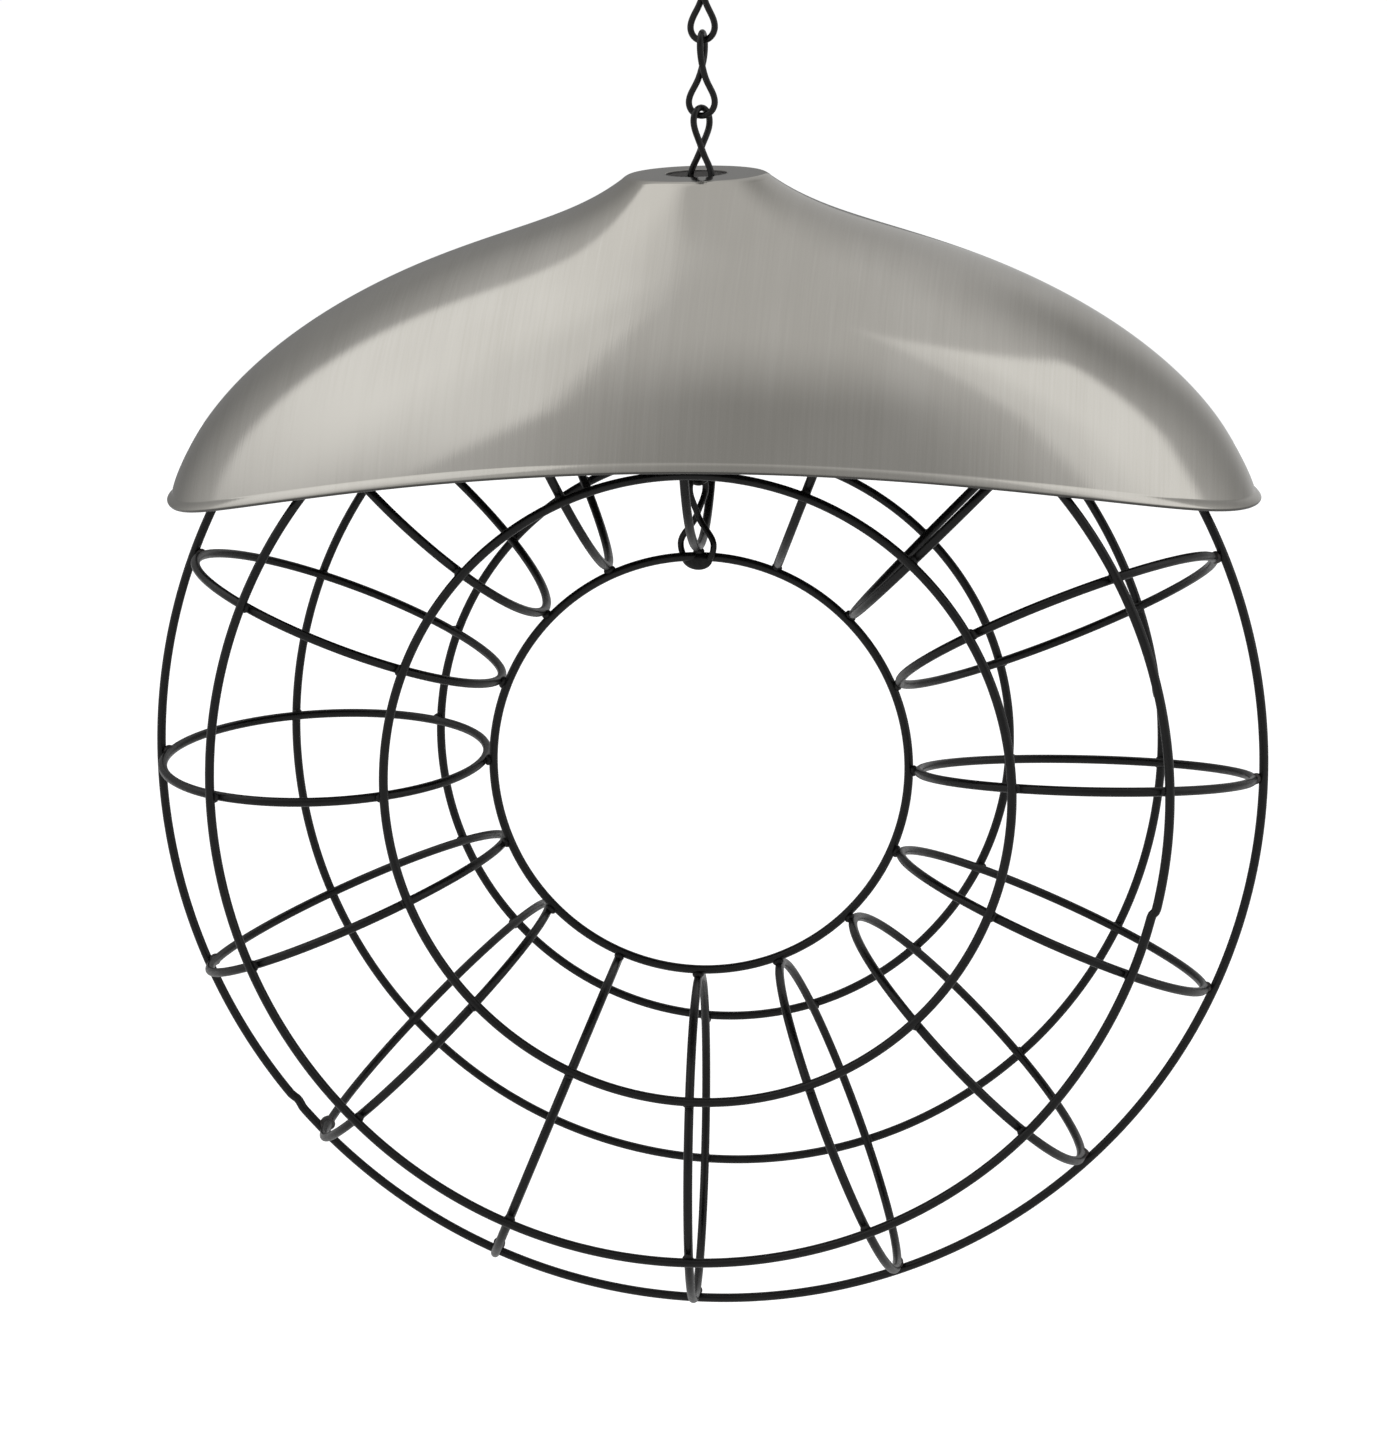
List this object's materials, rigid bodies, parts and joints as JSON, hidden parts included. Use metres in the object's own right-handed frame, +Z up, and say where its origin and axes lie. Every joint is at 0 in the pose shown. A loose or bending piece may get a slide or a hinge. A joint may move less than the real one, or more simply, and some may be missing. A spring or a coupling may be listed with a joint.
{
  "type": "wreath bird feeder",
  "caption": "Ring-shaped bird feeder of welded wire, hung on a figure-eight link chain under an oval pressed-metal roof that slides up to open it.",
  "frame": {"origin": "where the feeder hangs: the inside of the hook's crown, at its top", "axes": "+Z up, -Y towards the front of the wreath, +X to its right as seen from the front"},
  "size_m": [0.2996, 0.1497, 0.4723],
  "materials": {
    "cage": "satin black paint on welded steel wire",
    "roof": "brushed warm grey sheet under thin lacquer",
    "chain": "satin black paint on bent steel wire",
    "hook": "satin black paint on bent steel wire"
  },
  "bodies": {
    "hanger": {"hanging_hook": "hook"},
    "top_link": {"chain_link_12": "chain"},
    "second_link": {"chain_link_11": "chain"},
    "feeder": {"outer_ring": "cage", "inner_ring": "cage", "front_outer_ring": "cage", "rear_outer_ring": "cage", "front_inner_ring": "cage", "rear_inner_ring": "cage", "hoop_01": "cage", "hoop_02": "cage", "hoop_03": "cage", "hoop_04": "cage", "hoop_05": "cage", "hoop_06": "cage", "hoop_07": "cage", "hoop_08": "cage", "hoop_09": "cage", "hoop_10": "cage", "hoop_11": "cage", "hoop_12": "cage", "hoop_13": "cage", "hoop_14": "cage", "hoop_15": "cage", "hoop_16": "cage", "chain_link_01": "chain", "chain_link_02": "chain", "chain_link_03": "chain", "chain_link_04": "chain", "chain_link_05": "chain", "chain_link_06": "chain", "chain_link_07": "chain", "chain_link_08": "chain", "chain_link_09": "chain", "chain_link_10": "chain"},
    "roof_cover": {"roof": "roof"}
  },
  "joints": [
    {"name": "top_link_swing", "type": "hinge", "parent": "hanger", "child": "top_link", "pos_m": [0, 0, -0.0359], "axis": [0.866, -0.5, 0], "range_deg": [-30, 30]},
    {"name": "second_link_swing", "type": "hinge", "parent": "top_link", "child": "second_link", "pos_m": [0, 0, -0.05245], "axis": [0.5, 0.866, 0], "range_deg": [-30, 30]},
    {"name": "feeder_swing", "type": "hinge", "parent": "second_link", "child": "feeder", "pos_m": [0, 0, -0.07345], "axis": [0.866, -0.5, 0], "range_deg": [-30, 30]},
    {"name": "roof_lift", "type": "slide", "parent": "feeder", "child": "roof_cover", "axis": [0, 0, 1], "range_m": [0, 0.085]}
  ]
}
